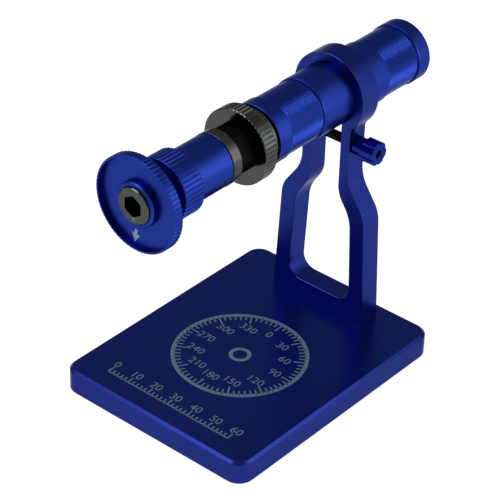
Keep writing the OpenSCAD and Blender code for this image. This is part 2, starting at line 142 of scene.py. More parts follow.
# Anodised aluminium: the dye tints a metallic reflection, and the fine blast keeps it soft. The plate's and
# yoke's dye is set darker than the turned blue: painted shade, for the shadowed floor that their faces mirror
anodisedPlatePaintedShade = blastedMetal("anodised_aluminium_blue_fine_blasted_painted_shade", {
    "tint": "#1f2d7d", "deep": "#1c2972", "edge": "#c2c6da",
    "metallic": 0.93,  # the blasted skin scatters a little of the light
    "lineSpacing": 0.5,  # a real blast grain is near 0.05 mm, drawn coarser so that it shows
    "roughness": 0.24, "unevenness": 0.05, "lineRoughness": 0.03, "bump": 0.05, "lineDepth": 0.02,
    "cloudSize": 18})
blueTurning = {
    "tint": "#22368f", "deep": "#1f3286", "edge": "#c2c6da", "metallic": 1.0,
    "lineSpacing": 0.4,  # a real feed mark is near 0.08 mm, drawn coarser so that it shows
    "roughness": 0.3, "unevenness": 0.05, "lineRoughness": 0.05, "bump": 0.08, "lineDepth": 0.02,
    "cloudSize": 14}
anodisedTurned = turnedMetal("anodised_aluminium_blue_turned", blueTurning, onSpindle)
# A rolled knurl comes out burnished, so that each diamond glints
anodisedKnurl = turnedMetal("anodised_aluminium_blue_rolled_knurl", {
    **blueTurning, "roughness": 0.18}, onSpindle)
# The thumb nut is dyed deeper and has a glossier skin
anodisedNut = turnedMetal("anodised_aluminium_blue_turned_nut", {
    **blueTurning, "tint": "#1c2a84", "deep": "#192678", "roughness": 0.16}, onClamp)
# Hard anodised aluminium: a dark neutral grey with a flat polish that mirrors what stands close to it
hardTurning = {
    "tint": "#4e514e", "deep": "#454845", "edge": "#b8b8b8", "metallic": 1.0, "roughness": 0.08,
    "unevenness": 0.04, "lineSpacing": 0.4, "lineRoughness": 0.05, "bump": 0.03, "lineDepth": 0.02,
    "cloudSize": 10}
gunmetal = turnedMetal("hard_anodised_aluminium_gunmetal_turned", hardTurning, onSpindle)
# The pressure ring has finer turning rings and a softer sheen. Its tint is lighter and pinker than the
# flange's: a painted warm reflection
ringGunmetalPaintedWarmth = turnedMetal("hard_anodised_aluminium_grey_turned_painted_warm_reflection", {
    **hardTurning, "tint": "#525053", "deep": "#464547", "roughness": 0.16, "lineSpacing": 0.3}, onSpindle)
# Black oxide on steel: near black, with a soft oily gleam
oxideSkin = {
    "tint": "#26272a", "deep": "#1a1a1c", "edge": "#808080", "metallic": 1.0, "roughness": 0.35,
    "unevenness": 0.08, "lineSpacing": 0.3, "lineRoughness": 0.06, "bump": 0.08, "lineDepth": 0.02,
    "cloudSize": 4}
blackOxide = blastedMetal("steel_black_oxide", oxideSkin)
# The drive hex is painted near black as painted shade: it stands in for the shadow and dark reflections in
# the gap between the ring and the flange
hexPaintedShade = blastedMetal("drive_hex_painted_shade_black", {
    **oxideSkin, "tint": "#141513", "deep": "#0e0f0d", "edge": "#404040", "metallic": 0.8, "roughness": 0.5})
# Ground bearing steel: bright, with fine grinding rings
groundSteel = turnedMetal("bearing_steel_ground", {
    "tint": "#a6a9ad", "deep": "#989b9f", "edge": "#ffffff", "metallic": 1.0, "roughness": 0.16,
    "unevenness": 0.05, "lineSpacing": 0.3, "lineRoughness": 0.06, "bump": 0.06, "lineDepth": 0.01,
    "cloudSize": 5}, onSpindle)
# Pressed brass: warm, with the faint unevenness of rolled sheet
pressedBrass = blastedMetal("brass_pressed", {
    "tint": "#c2a052", "deep": "#ab8a45", "edge": "#ffffff", "metallic": 1.0, "roughness": 0.28,
    "unevenness": 0.1, "lineSpacing": 0.3, "lineRoughness": 0.05, "bump": 0.06, "lineDepth": 0.01,
    "cloudSize": 3})
# Bare turned aluminium: pale and soft
bareAluminium = turnedMetal("aluminium_bare_turned", {
    "tint": "#c4c6c9", "deep": "#b4b6ba", "edge": "#ffffff", "metallic": 1.0, "roughness": 0.3,
    "unevenness": 0.05, "lineSpacing": 0.4, "lineRoughness": 0.06, "bump": 0.1, "lineDepth": 0.02,
    "cloudSize": 6}, onSpindle)
# Laser etching burns off the dye and leaves a matt grey skin that scatters light
etchedSkin = {
    "tint": "#5c6e82", "deep": "#4e6075", "edge": "#ffffff", "metallic": 0.2, "roughness": 0.55,
    "unevenness": 0.1, "lineSpacing": 0.4, "lineRoughness": 0.08, "bump": 0.1, "lineDepth": 0.02,
    "cloudSize": 6}
etchedPlate = blastedMetal("anodised_aluminium_laser_etched", etchedSkin)
# The dial is etched deeper, down to a paler metal
etchedDial = blastedMetal("anodised_aluminium_laser_etched_light", {
    **etchedSkin, "tint": "#93a6bf", "deep": "#8495ae"})
print("materials ready")

sharpAngle = radians(20)  # keeps flats flat beside their broken edges
cornerAngle = radians(25)  # a turned corner above this is an edge that gets broken
bevelRoom = 2.5  # an edge is broken where both sides are this many bevels long
hair = 1e-4  # mm within which two heights count as one


def finishPiece(bm, name, materials, body, nodes=(), place=Matrix.Identity(4)):
    bmesh.ops.transform(bm, matrix=Matrix.Scale(mm, 4) @ place, verts=bm.verts)
    bmesh.ops.remove_doubles(bm, verts=bm.verts, dist=hair * mm)
    bmesh.ops.recalc_face_normals(bm, faces=bm.faces)
    mesh = bpy.data.meshes.new(name)
    bm.to_mesh(mesh)
    bm.free()
    for material in materials:
        mesh.materials.append(material)
    mesh.shade_smooth()
    mesh.set_sharp_from_angle(angle=sharpAngle)
    piece = bpy.data.objects.new(name, mesh)
    scene.collection.objects.link(piece)
    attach(piece, body)
    if nodes:
        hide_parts(*nodes)
    print("made", name, len(mesh.polygons), "faces")
    return piece


def loopEdges(bm, ring):
    return [bm.edges.get((ring[i - 1], ring[i])) for i in range(len(ring))]


# Grows the next loop out of a ring and keeps the order of its points
def growRing(bm, ring):
    grown = bmesh.ops.extrude_edge_only(bm, edges=loopEdges(bm, ring))["geom"]
    fresh = {item for item in grown if isinstance(item, bmesh.types.BMVert)}
    return [next(e.other_vert(v) for e in v.link_edges if e.other_vert(v) in fresh) for v in ring]


def thicken(bm, along):
    grown = bmesh.ops.extrude_face_region(bm, geom=bm.faces[:])["geom"]
    bmesh.ops.translate(bm, vec=along, verts=[v for v in grown if isinstance(v, bmesh.types.BMVert)])


def bevelEdges(bm, edges, width):
    bmesh.ops.bevel(bm, geom=edges, offset=width, offset_type="OFFSET", affect="EDGES", segments=1,
                    profile=0.5, material=-1, clamp_overlap=True)


# Points round a turned piece as (angle from +Z, share of the cut depth)
def evenPoints(count):
    return [(tau * i / count, 0) for i in range(count)]


def cutPoints(count, profile, turn=0.0):
    return [(turn + tau * (i + share) / count, cut) for i in range(count) for share, cut in profile]


# A wide land, then a narrow round groove
fluteProfile = ((0, 0), (0.29, 0), (0.58, 0), (0.63, 0.5), (0.7, 0.88), (0.79, 1), (0.88, 0.88), (0.95, 0.5))
# Half a lobe, a finger hollow, and the other half of the next lobe
scallopProfile = ((0, 0), (0.09, 0), (0.18, 0), (0.26, 0), (0.3, 0.33), (0.35, 0.64), (0.42, 0.91), (0.5, 1),
                  (0.58, 0.91), (0.65, 0.64), (0.7, 0.33), (0.74, 0), (0.82, 0), (0.91, 0))


def stationRadius(station, angle, cut):
    kind, radius = station[1:3]
    if kind == "cut":
        return radius - station[3] * cut
    if kind == "hex":
        turn, reach = station[3:] if len(station) > 3 else (0, radius)
        # Here radius is the size across flats
        flat = radius / 2 / cos((angle + turn + pi / 6) % (pi / 3) - pi / 6)
        return min(flat, reach)  # a round bore takes the points off the corners
    return radius


# Draws a loop round Y at each station (y, kind, radius, ...) and joins it to the one before
def turnPiece(bm, points, stations, closed=True, soft=0.0):
    ring = bmesh.ops.create_circle(bm, segments=len(points), radius=1)["verts"]
    rings = []
    for number, station in enumerate(stations):
        if number:
            ring = growRing(bm, ring)
        for vert, (angle, cut) in zip(ring, points):
            radius = stationRadius(station, angle, cut)
            vert.co = (radius * sin(angle), station[0], radius * cos(angle))
        rings.append(ring)
    if closed:
        bmesh.ops.bridge_loops(bm, edges=loopEdges(bm, rings[0]) + loopEdges(bm, rings[-1]))
    else:
        for ring in (rings[0], rings[-1]):
            bmesh.ops.contextual_create(bm, geom=loopEdges(bm, ring))
    if soft:
        corners = []
        for i, station in enumerate(stations):
            around = [stations[i - 1], station, stations[(i + 1) % len(stations)]]
            if all(s[1] == "round" for s in around) and (closed or 0 < i < len(stations) - 1):
                before, after = (Vector((b[2] - a[2], b[0] - a[0])) for a, b in zip(around, around[1:]))
                isOutside = before.cross(after) > 0  # inside corners stay sharp, as the tool leaves them
                isCorner = before.angle(after, 0) > cornerAngle
                if isOutside and isCorner and min(before.length, after.length) > bevelRoom * soft:
                    corners += loopEdges(bm, rings[i])
        bevelEdges(bm, corners, soft)
    return rings


# Diamond knurl: grooves cross the band both ways and leave a raised, flat-topped diamond between them
def knurlBand(bm, rings, slope, rise):
    grid = [(row, i, vert) for row, ring in enumerate(rings) for i, vert in enumerate(ring)]
    corners = {vert for row, i, vert in grid if (row + i) % 2 == 0}
    middles = [vert for row, i, vert in grid if (row + i) % 2 and 0 < row < len(rings) - 1]
    bmesh.ops.connect_verts(bm, verts=list(corners))
    bmesh.ops.dissolve_verts(bm, verts=middles)
    bmesh.ops.recalc_face_normals(bm, faces=bm.faces)
    diamonds = [face for face in bm.faces if len(face.verts) == 4 and corners.issuperset(face.verts)]
    slopes = bmesh.ops.inset_individual(bm, faces=diamonds, thickness=slope, depth=rise, use_even_offset=True)
    for face in diamonds + slopes["faces"]:
        face.material_index = 1


# From a face out to its fluted rim: the grooves run out through the chamfer at their full depth
def rimStations(face, inward, radius, chamfer, depth):
    rim = (face + inward * chamfer, "cut", radius, depth)
    if chamfer > depth:
        runOut = (face + inward * (chamfer - depth), "round", radius - depth)
        return [(face, "round", radius - chamfer), runOut, rim]
    return [(face, "cut", radius - chamfer, depth - chamfer), rim]


def threadStations(start, end, crest, depth, pitch):
    rows = int((end - start) / pitch)
    return [(start + pitch * (i + half), "round", crest - depth * 2 * half)
            for i in range(rows) for half in (0, 0.5)]


# Rounds a flat face's corners: each vertex gets an arc of its radius
def roundCorners(bm, corners, segments):
    for vert, radius in corners:
        first, second = (edge.other_vert(vert).co - vert.co for edge in vert.link_edges[:2])
        reach = radius / tan(first.angle(second) / 2)
        bmesh.ops.bevel(bm, geom=[vert], offset=reach, offset_type="OFFSET", affect="VERTICES",
                        segments=segments, profile=0.5, material=-1)


# Base plate: rounded corners, a bright chamfer round the top, two countersinks underneath
baseSize = {"cornerRadius": 6.5, "cornerSegments": 14, "topChamfer": 1.2, "footChamfer": 0.4, "soft": 0.12,
            "sinkX": 19.05, "sinkRadius": 4.1, "sinkDepth": 0.4, "sinkSegments": 40, "holeRadius": 2.1,
            "holeCover": 1.0}
baseHigh = nodeBox("base_plate")[1]
baseTop = baseHigh.z
bm = bmesh.new()
plate = bmesh.ops.create_grid(bm, x_segments=1, y_segments=1, size=1)["verts"]
bmesh.ops.scale(bm, vec=(baseHigh.x, baseHigh.y, 1), verts=plate)
roundCorners(bm, [(vert, baseSize["cornerRadius"]) for vert in plate], baseSize["cornerSegments"])
thicken(bm, (0, 0, baseTop))
bmesh.ops.recalc_face_normals(bm, faces=bm.faces)
for height, width in ((baseTop, baseSize["topChamfer"]), (0, baseSize["footChamfer"])):
    rim = [e for e in bm.edges if all(abs(v.co.z - height) < hair for v in e.verts)]
    bevelEdges(bm, rim, width)
softEdges = [e for e in bm.edges if e.calc_face_angle(0) > radians(30)]
bevelEdges(bm, softEdges, baseSize["soft"])
foot = min(bm.faces, key=lambda face: face.calc_center_median().z)
footEdges = list(foot.edges)
bmesh.ops.delete(bm, geom=[foot], context="FACES_ONLY")
coneTop = baseSize["sinkDepth"] + baseSize["sinkRadius"] - baseSize["holeRadius"]
sinkSteps = ((baseSize["sinkDepth"], baseSize["sinkRadius"]), (coneTop, baseSize["holeRadius"]),
             (baseTop - baseSize["holeCover"], baseSize["holeRadius"]))
for side in (-1, 1):
    centre = Vector((side * baseSize["sinkX"], clampY, 0))
    sink = bmesh.ops.create_circle(bm, segments=baseSize["sinkSegments"], radius=baseSize["sinkRadius"],
                                   matrix=Matrix.Translation(centre))["verts"]
    footEdges += loopEdges(bm, sink)
    ring = sink
    for height, radius in sinkSteps:
        ring = growRing(bm, ring)
        for mouth, vert in zip(sink, ring):
            vert.co = centre + (mouth.co - centre).normalized() * radius + Vector((0, 0, height))
    bmesh.ops.contextual_create(bm, geom=loopEdges(bm, ring))
bmesh.ops.triangle_fill(bm, use_beauty=True, edges=footEdges)
finishPiece(bm, "base_plate_body", [anodisedPlatePaintedShade], "stand", ["base_plate"])

# Yoke: half its outline is drawn and mirrored, then given its thickness
yokeSize = {"footX": 22.7, "kneeX": 20.35, "kneeZ": 57.9, "shoulderZ": 70.9, "armX": 11.25,
            "ringFillet": 4.0, "slotX": 7.05, "throatZ": 65.3, "windowX": 13.51, "windowZ": 55.7,
            "floorX": 15.39, "floorZ": 17.25, "boreRadius": 12.65, "kneeRadius": 11.5,
            "shoulderRadius": 14.0, "windowRadius": 6.0, "soft": 0.15, "filletSteps": 6, "ringSteps": 40,
            "cornerSegments": 8, "footGap": 1e-3}
yokeLow, yokeHigh = nodeBox("yoke")
ringRadius = yokeHigh.z - axisZ
bm = bmesh.new()
outline = []


def lineTo(x, z):
    vert = bm.verts.new((x, yokeLow.y, z))
    if outline:
        bm.edges.new((outline[-1], vert))
    outline.append(vert)
    return vert


def arcTo(centreX, centreZ, angle, steps):
    made = bmesh.ops.spin(bm, geom=[outline[-1]], cent=(centreX, yokeLow.y, centreZ), axis=(0, 1, 0),
                          angle=angle, steps=steps)
    outline.append(made["geom_last"][0])


lineTo(0, yokeLow.z)
lineTo(yokeSize["footX"], yokeLow.z)
corners = [(lineTo(yokeSize["kneeX"], yokeSize["kneeZ"]), yokeSize["kneeRadius"]),
           (lineTo(yokeSize["armX"], yokeSize["shoulderZ"]), yokeSize["shoulderRadius"])]
filletX = yokeSize["armX"] + yokeSize["ringFillet"]
filletReach = ringRadius + yokeSize["ringFillet"]
filletDrop = (filletReach ** 2 - filletX ** 2) ** 0.5
lineTo(yokeSize["armX"], axisZ - filletDrop)
filletTurn = Vector((filletX, filletDrop)).angle(Vector((1, 0)))
arcTo(filletX, axisZ - filletDrop, filletTurn, yokeSize["filletSteps"])
arcTo(0, axisZ, -(filletTurn + pi / 2), yokeSize["ringSteps"])
lineTo(0, axisZ + yokeSize["boreRadius"])
boreDrop = (yokeSize["boreRadius"] ** 2 - yokeSize["slotX"] ** 2) ** 0.5
boreTurn = pi - Vector((yokeSize["slotX"], boreDrop)).angle(Vector((0, 1)))
arcTo(0, axisZ, boreTurn, yokeSize["ringSteps"])
corners += [(lineTo(yokeSize["slotX"], yokeSize["throatZ"]), yokeSize["kneeRadius"]),
            (lineTo(yokeSize["windowX"], yokeSize["windowZ"]), yokeSize["shoulderRadius"]),
            (lineTo(yokeSize["floorX"], yokeSize["floorZ"]), yokeSize["windowRadius"])]
lineTo(0, yokeSize["floorZ"])
bm.edges.new((outline[-1], outline[0]))
bmesh.ops.contextual_create(bm, geom=bm.edges[:])
roundCorners(bm, corners, yokeSize["cornerSegments"])
bmesh.ops.mirror(bm, geom=bm.verts[:] + bm.edges[:] + bm.faces[:], axis="X", merge_dist=hair)
thicken(bm, (0, yokeHigh.y - yokeLow.y, 0))
bmesh.ops.recalc_face_normals(bm, faces=bm.faces)
flatEdges = [e for e in bm.edges if abs(e.verts[0].co.y - e.verts[1].co.y) < hair]
rims = [e for e in flatEdges if e.calc_face_angle(0) > radians(60)
        and max(v.co.z for v in e.verts) > yokeLow.z + yokeSize["footGap"]]
bevelEdges(bm, rims, yokeSize["soft"])
finishPiece(bm, "yoke_body", [anodisedPlatePaintedShade], "stand", ["yoke"])

# Barrel: plain end bands, two diamond-knurled grips, a plain middle and a bearing seat at each end
barrelSize = {"bandLength": 7.0, "gripLength": 18.5, "frontChamfer": 0.15, "rearChamfer": 0.4,
              "bandChamfer": 0.25, "diamonds": 72, "diamondLength": 1.25, "gripRadius": 12.0,
              "diamondSlope": 0.14, "diamondRise": 0.096, "seatRadius": 8.02, "seatChamfer": 0.3,
              "boreRadius": 7.2, "frontSeat": 4.9, "rearSeat": 79.0, "soft": 0.12}
barrelLow, barrelHigh = nodeBox("barrel")
barrelRadius = barrelHigh.x


def gripStations(start, end):
    edge = barrelSize["bandChamfer"]
    lip = barrelRadius - edge
    root = barrelSize["gripRadius"]
    rows = round((end - start) / barrelSize["diamondLength"] * 2)
    step = (end - start) / rows
    grip = [(start + step * (i + 0.5), "knurl", root) for i in range(rows)]
    return ([(start - edge, "round", barrelRadius), (start, "round", lip), (start, "round", root)] + grip
            + [(end, "round", root), (end, "round", lip), (end + edge, "round", barrelRadius)])


frontGrip = barrelLow.y + barrelSize["bandLength"]
rearGrip = barrelHigh.y - barrelSize["bandLength"]
bm = bmesh.new()
stations = [
    (barrelLow.y, "round", barrelSize["seatRadius"]),
    (barrelLow.y, "round", barrelRadius - barrelSize["frontChamfer"]),
    (barrelLow.y + barrelSize["frontChamfer"], "round", barrelRadius),
    *gripStations(frontGrip, frontGrip + barrelSize["gripLength"]),
    *gripStations(rearGrip - barrelSize["gripLength"], rearGrip),
    (barrelHigh.y - barrelSize["rearChamfer"], "round", barrelRadius),
    (barrelHigh.y, "round", barrelRadius - barrelSize["rearChamfer"]),
    (barrelHigh.y, "round", barrelSize["seatRadius"] + barrelSize["seatChamfer"]),
    (barrelHigh.y - barrelSize["seatChamfer"], "round", barrelSize["seatRadius"]),
    (barrelSize["rearSeat"], "round", barrelSize["seatRadius"]),
    (barrelSize["rearSeat"], "round", barrelSize["boreRadius"]),
    (barrelSize["frontSeat"], "round", barrelSize["boreRadius"]),
    (barrelSize["frontSeat"], "round", barrelSize["seatRadius"])]
rings = turnPiece(bm, evenPoints(2 * barrelSize["diamonds"]), stations, soft=barrelSize["soft"])
knurled = [(ring, station[0] < clampY) for ring, station in zip(rings, stations) if station[1] == "knurl"]
for isFront in (True, False):
    grip = [ring for ring, inFront in knurled if inFront == isFront]
    knurlBand(bm, grip, barrelSize["diamondSlope"], barrelSize["diamondRise"])
finishPiece(bm, "barrel_body", [anodisedTurned, anodisedKnurl], "barrel_unit", ["barrel"],
            onSpindle)

# Drive hub: wheel hex, fluted flange, rear boss and the spigot that meets the bearing
hubSize = {"flutes": 54, "fluteDepth": 0.34, "hexFlats": 17.0, "hexChamfer": 0.4, "flangeFront": -12.55,
           "flangeBack": -6.4, "flangeChamfer": 0.3, "bossRadius": 11.8, "bossBack": -2.0, "bossChamfer": 0.3,
           "spigotRadius": 5.18, "boreRadius": 4.02, "soft": 0.12}
hubLow, hubHigh = nodeBox("drive_hub")
flangeRim = (hubHigh.x, hubSize["flangeChamfer"], hubSize["fluteDepth"])
bm = bmesh.new()
turnPiece(bm, cutPoints(hubSize["flutes"], fluteProfile), [
    (hubLow.y, "round", hubSize["boreRadius"]),
    (hubLow.y, "hex", hubSize["hexFlats"] - 2 * hubSize["hexChamfer"]),
    (hubLow.y + hubSize["hexChamfer"], "hex", hubSize["hexFlats"]),
    (hubSize["flangeFront"], "hex", hubSize["hexFlats"]),
    *rimStations(hubSize["flangeFront"], 1, *flangeRim),
    *reversed(rimStations(hubSize["flangeBack"], -1, *flangeRim)),
    (hubSize["flangeBack"], "round", hubSize["bossRadius"]),
    (hubSize["bossBack"] - hubSize["bossChamfer"], "round", hubSize["bossRadius"]),
    (hubSize["bossBack"], "round", hubSize["bossRadius"] - hubSize["bossChamfer"]),
    (hubSize["bossBack"], "round", hubSize["spigotRadius"]),
    (hubHigh.y, "round", hubSize["spigotRadius"]), (hubHigh.y, "round", hubSize["boreRadius"]),
], soft=hubSize["soft"])
# The hex faces take the near-black painted shade; the rest of the hub stays gunmetal
for face in bm.faces:
    face.material_index = int(face.calc_center_median().y < hubSize["flangeFront"] - hubSize["soft"])
finishPiece(bm, "drive_hub_body", [gunmetal, hexPaintedShade], "spindle", ["drive_hub"], onSpindle)

# Wheel arbor: threaded outside, with a key socket in its rounded nose
arborSize = {"noseRound": 0.9, "noseSteps": 3, "socketFlats": 7.6, "socketReach": 4.15, "socketDepth": 9.0,
             "socketTurn": 30, "threadDepth": 0.35, "threadPitch": 1.0, "threadStart": -62.0,
             "threadEnd": -23.0, "segments": 96}
arborLow, arborHigh = nodeBox("wheel_arbor")
arborRadius = arborHigh.x
socket = ("hex", arborSize["socketFlats"], radians(arborSize["socketTurn"]), arborSize["socketReach"])
bend = arborSize["noseRound"]
bends = [pi / 2 * i / arborSize["noseSteps"] for i in range(arborSize["noseSteps"] + 1)]
bm = bmesh.new()
turnPiece(bm, evenPoints(arborSize["segments"]), [
    (arborLow.y + arborSize["socketDepth"], *socket), (arborLow.y, *socket),
    *[(arborLow.y + bend * (1 - cos(turn)), "round", arborRadius - bend * (1 - sin(turn))) for turn in bends],
    *threadStations(arborSize["threadStart"], arborSize["threadEnd"], arborRadius, arborSize["threadDepth"],
                    arborSize["threadPitch"]),
    (arborSize["threadEnd"], "round", arborRadius), (arborHigh.y, "round", arborRadius),
], closed=False)
finishPiece(bm, "wheel_arbor_body", [gunmetal], "spindle", ["wheel_arbor"], onSpindle)

# Pressure ring: bears on the wheel and turns free on its spigot in the sleeve
ringSize = {"front": -24.9, "spigotRadius": 8.55, "boreRadius": 7.35, "frontEdge": 0.05, "rearEdge": 0.6,
            "segments": 128, "soft": 0.12}
ringLow, ringHigh = nodeBox("pressure_ring")
bm = bmesh.new()
turnPiece(bm, evenPoints(ringSize["segments"]), [
    (ringLow.y, "round", ringSize["boreRadius"]), (ringLow.y, "round", ringSize["spigotRadius"]),
    (ringSize["front"], "round", ringSize["spigotRadius"]),
    (ringSize["front"], "round", ringHigh.x - ringSize["frontEdge"]),
    (ringSize["front"] + ringSize["frontEdge"], "round", ringHigh.x),
    (ringHigh.y - ringSize["rearEdge"], "round", ringHigh.x),
    (ringHigh.y, "round", ringHigh.x - ringSize["rearEdge"]), (ringHigh.y, "round", ringSize["boreRadius"]),
], soft=ringSize["soft"])
finishPiece(bm, "pressure_ring_body", [ringGunmetalPaintedWarmth], "wheel_nut", ["pressure_ring"], onSpindle)

# Sleeve nut: fluted head in front, plain sleeve behind with a seat for the ring's spigot
sleeveSize = {"flutes": 45, "fluteDepth": 0.34, "headBack": -42.4, "frontChamfer": 0.15, "headChamfer": 0.7,
              "sleeveRadius": 10.45, "sleeveEdge": 0.35, "boreRadius": 7.35, "spigotRadius": 8.57,
              "spigotFront": -27.92, "soft": 0.12}
sleeveLow, sleeveHigh = nodeBox("sleeve_nut")
headFront = (sleeveLow.y, 1, sleeveHigh.x, sleeveSize["frontChamfer"], sleeveSize["fluteDepth"])
headBack = (sleeveSize["headBack"], -1, sleeveHigh.x, sleeveSize["headChamfer"], sleeveSize["fluteDepth"])
bm = bmesh.new()
turnPiece(bm, cutPoints(sleeveSize["flutes"], fluteProfile), [
    (sleeveLow.y, "round", sleeveSize["boreRadius"]),
    *rimStations(*headFront), *reversed(rimStations(*headBack)),
    (sleeveSize["headBack"], "round", sleeveSize["sleeveRadius"]),
    (sleeveHigh.y - sleeveSize["sleeveEdge"], "round", sleeveSize["sleeveRadius"]),
    (sleeveHigh.y, "round", sleeveSize["sleeveRadius"] - sleeveSize["sleeveEdge"]),
    (sleeveHigh.y, "round", sleeveSize["spigotRadius"]),
    (sleeveSize["spigotFront"], "round", sleeveSize["spigotRadius"]),
    (sleeveSize["spigotFront"], "round", sleeveSize["boreRadius"]),
], soft=sleeveSize["soft"])
finishPiece(bm, "sleeve_nut_body", [anodisedTurned], "wheel_nut", ["sleeve_nut"], onSpindle)

# Dial: fluted rim with a thin lip, a recessed face, a front boss and a rear hub
dialSize = {"flutes": 68, "fluteDepth": 0.24, "front": -64.95, "back": -61.2, "face": -62.85, "chamfer": 0.12,
            "lip": 0.85, "bossRadius": 8.9, "bossChamfer": 0.5, "hubRadius": 9.0, "boreRadius": 7.35,
            "soft": 0.12}
dialLow, dialHigh = nodeBox("dial")
dialRim = (dialHigh.x, dialSize["chamfer"], dialSize["fluteDepth"])
recessRadius = dialHigh.x - dialSize["lip"]
bm = bmesh.new()
turnPiece(bm, cutPoints(dialSize["flutes"], fluteProfile), [
    (dialLow.y, "round", dialSize["boreRadius"]),
    (dialLow.y, "round", dialSize["bossRadius"] - dialSize["bossChamfer"]),
    (dialLow.y + dialSize["bossChamfer"], "round", dialSize["bossRadius"]),
    (dialSize["face"], "round", dialSize["bossRadius"]),
    (dialSize["face"], "round", recessRadius), (dialSize["front"], "round", recessRadius),
    *rimStations(dialSize["front"], 1, *dialRim), *reversed(rimStations(dialSize["back"], -1, *dialRim)),
    (dialSize["back"], "round", dialSize["hubRadius"]), (dialHigh.y, "round", dialSize["hubRadius"]),
    (dialHigh.y, "round", dialSize["boreRadius"]),
], soft=dialSize["soft"])
finishPiece(bm, "dial_body", [anodisedTurned], "dial_unit", ["dial"], onSpindle)

# Arrow etched on the dial, and a short pale mark on the nose above it
arrowSize = {"turn": 187.3, "tip": 17.3, "head": 3.4, "sweep": 0.5, "tail": 11.8, "headWidth": 3.9,
             "shaftWidth": 1.3, "rise": 0.02, "markTurn": 175, "markInner": 4.2, "markOuter": 5.9,
             "markWidth": 1.2}
neck = arrowSize["tip"] - arrowSize["head"]
barb = neck - arrowSize["sweep"]
halfShaft, halfHead = arrowSize["shaftWidth"] / 2, arrowSize["headWidth"] / 2
bm = bmesh.new()
bm.faces.new([bm.verts.new((x, dialSize["face"], z)) for x, z in (
    (0, arrowSize["tip"]), (halfHead, barb), (halfShaft, neck), (halfShaft, arrowSize["tail"]),
    (-halfShaft, arrowSize["tail"]), (-halfShaft, neck), (-halfHead, barb))])
thicken(bm, (0, -arrowSize["rise"], 0))
arrowPlace = onSpindle @ Matrix.Rotation(radians(arrowSize["turn"]), 4, "Y")
finishPiece(bm, "dial_arrow", [etchedDial], "dial_unit", (), arrowPlace)
bm = bmesh.new()
markMiddle = Matrix.Translation((0, arborLow.y, (arrowSize["markInner"] + arrowSize["markOuter"]) / 2))
markLength = arrowSize["markOuter"] - arrowSize["markInner"]
bmesh.ops.create_cube(bm, size=1, matrix=markMiddle @ Matrix.Diagonal(
    (arrowSize["markWidth"], 2 * arrowSize["rise"], markLength, 1)))
markPlace = onSpindle @ Matrix.Rotation(radians(arrowSize["markTurn"]), 4, "Y")
finishPiece(bm, "nose_mark", [etchedPlate], "spindle", (), markPlace)

# Thumb nut: a plain neck and a head with six finger hollows
thumbSize = {"scallops": 6, "scallopTurn": 19, "scallopDepth": 0.65, "neckRadius": 3.7, "neckChamfer": 0.2,
             "headStart": 15.55, "edge": 0.3, "boreRadius": 2.05, "holeRadius": 1.6, "countersink": 0.4,
             "endWall": 1.6, "soft": 0.1}
thumbLow, thumbHigh = nodeBox("thumb_nut")
thumbRadius = thumbHigh.z - clampZ
thumbEdge = ("cut", thumbRadius - thumbSize["edge"], thumbSize["scallopDepth"] - thumbSize["edge"])
thumbGrip = ("cut", thumbRadius, thumbSize["scallopDepth"])
holeEnd = thumbHigh.x - thumbSize["endWall"]
bm = bmesh.new()
turnPiece(bm, cutPoints(thumbSize["scallops"], scallopProfile, radians(thumbSize["scallopTurn"])), [
    (thumbLow.x, "round", thumbSize["boreRadius"]),
    (thumbLow.x, "round", thumbSize["neckRadius"] - thumbSize["neckChamfer"]),
    (thumbLow.x + thumbSize["neckChamfer"], "round", thumbSize["neckRadius"]),
    (thumbSize["headStart"], "round", thumbSize["neckRadius"]),
    (thumbSize["headStart"], *thumbEdge), (thumbSize["headStart"] + thumbSize["edge"], *thumbGrip),
    (thumbHigh.x - thumbSize["edge"], *thumbGrip), (thumbHigh.x, *thumbEdge),
    (thumbHigh.x, "round", thumbSize["holeRadius"] + thumbSize["countersink"]),
    (thumbHigh.x - thumbSize["countersink"], "round", thumbSize["holeRadius"]),
    (holeEnd, "round", thumbSize["holeRadius"]), (holeEnd, "round", thumbSize["boreRadius"]),
], soft=thumbSize["soft"])
finishPiece(bm, "thumb_nut_body", [anodisedNut], "thumb_nut_unit", ["thumb_nut"], onClamp)

# Clamp screw: socket head on the left arm, threaded shank through both arms
screwSize = {"headLength": 4.0, "headRadius": 3.5, "headChamfer": 0.3, "keyFlats": 3.0, "keyDepth": 2.4,
             "keyEdge": 0.15, "keyMouth": 1.86, "shankRadius": 2.0, "plainLength": 2.0, "threadDepth": 0.35,
             "threadPitch": 0.7, "threadStop": 0.5, "tipChamfer": 0.4, "segments": 48}
screwLow, screwHigh = nodeBox("clamp_screw")
screwSeat = screwLow.x + screwSize["headLength"]
bm = bmesh.new()
turnPiece(bm, evenPoints(screwSize["segments"]), [
    (screwLow.x + screwSize["keyDepth"], "hex", screwSize["keyFlats"]),
    (screwLow.x + screwSize["keyEdge"], "hex", screwSize["keyFlats"]),
    (screwLow.x, "round", screwSize["keyMouth"]),
    (screwLow.x, "round", screwSize["headRadius"] - screwSize["headChamfer"]),
    (screwLow.x + screwSize["headChamfer"], "round", screwSize["headRadius"]),
    (screwSeat, "round", screwSize["headRadius"]), (screwSeat, "round", screwSize["shankRadius"]),
    *threadStations(screwSeat + screwSize["plainLength"], screwHigh.x - screwSize["threadStop"],
                    screwSize["shankRadius"], screwSize["threadDepth"], screwSize["threadPitch"]),
    (screwHigh.x - screwSize["tipChamfer"], "round", screwSize["shankRadius"]),
    (screwHigh.x, "round", screwSize["shankRadius"] - screwSize["tipChamfer"]),
], closed=False)
finishPiece(bm, "clamp_screw_body", [blackOxide], "clamp_screw_unit", ["clamp_screw"], onClamp)

